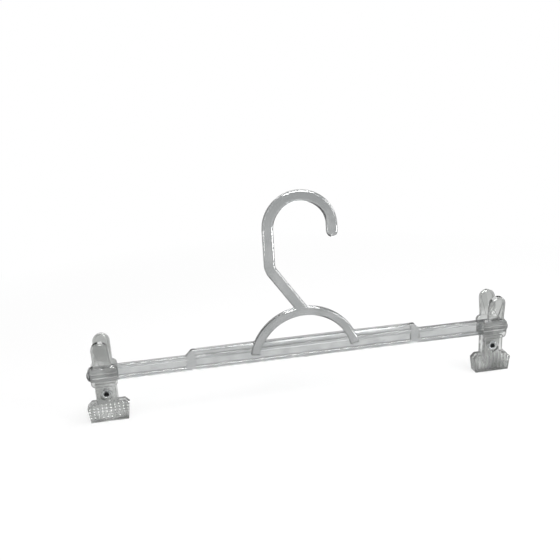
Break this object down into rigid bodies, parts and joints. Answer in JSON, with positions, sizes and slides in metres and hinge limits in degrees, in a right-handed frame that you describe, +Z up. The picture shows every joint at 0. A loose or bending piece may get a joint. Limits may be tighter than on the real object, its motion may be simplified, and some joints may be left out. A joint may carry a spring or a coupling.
{
  "type": "skirt hanger",
  "caption": "Clear moulded skirt hanger with a round open hook, a slanted shank, an arch on a ribbed bar, and a sliding spring clip at each end.",
  "frame": {"origin": "middle of the hook's round, on the rail's axis, midway through the hook's thickness", "axes": "+X along the bar to the side on which the hook is open, +Y from the front to the back, +Z up"},
  "size_m": [0.3306, 0.0222, 0.159],
  "materials": {
    "clear_body": "clear moulded polystyrene, glossy",
    "clear_jaw": "clear moulded polystyrene, glossy",
    "spring_steel": "bright drawn spring wire"
  },
  "bodies": {
    "hanger": {"hanger_body": "clear_body"},
    "left_clip": {"left_clip_spring": "spring_steel"},
    "left_front_half": {"left_front_jaw": "clear_jaw"},
    "left_back_half": {"left_back_jaw": "clear_jaw"},
    "right_clip": {"right_clip_spring": "spring_steel"},
    "right_front_half": {"right_front_jaw": "clear_jaw"},
    "right_back_half": {"right_back_jaw": "clear_jaw"}
  },
  "joints": [
    {"name": "left_clip_slide", "type": "slide", "parent": "hanger", "child": "left_clip", "axis": [1, 0, 0], "range_m": [0, 0.0497]},
    {"name": "left_clip_squeeze", "type": "hinge", "parent": "left_clip", "child": "left_front_half", "pos_m": [-0.15, -0.0037, -0.09425], "axis": [-1, 0, 0], "range_deg": [0, 13], "stiffness_Nm_per_rad": 0.1, "springref_deg": -57.3, "deforming": ["left_clip_spring"]},
    {"name": "left_back_half_hinge", "type": "hinge", "parent": "left_clip", "child": "left_back_half", "pos_m": [-0.15, 0.0037, -0.09425], "axis": [1, 0, 0], "range_deg": [0, 13], "stiffness_Nm_per_rad": 0.1, "springref_deg": -57.3, "deforming": ["left_clip_spring"]},
    {"name": "right_clip_slide", "type": "slide", "parent": "hanger", "child": "right_clip", "axis": [-1, 0, 0], "range_m": [0, 0.0497]},
    {"name": "right_clip_squeeze", "type": "hinge", "parent": "right_clip", "child": "right_front_half", "pos_m": [0.15, -0.0037, -0.09425], "axis": [-1, 0, 0], "range_deg": [0, 13], "stiffness_Nm_per_rad": 0.1, "springref_deg": -57.3, "deforming": ["right_clip_spring"]},
    {"name": "right_back_half_hinge", "type": "hinge", "parent": "right_clip", "child": "right_back_half", "pos_m": [0.15, 0.0037, -0.09425], "axis": [1, 0, 0], "range_deg": [0, 13], "stiffness_Nm_per_rad": 0.1, "springref_deg": -57.3, "deforming": ["right_clip_spring"]}
  ],
  "couplings": [
    {"joint": "left_back_half_hinge", "follows": "left_clip_squeeze", "ratio": 1},
    {"joint": "right_back_half_hinge", "follows": "right_clip_squeeze", "ratio": 1}
  ]
}
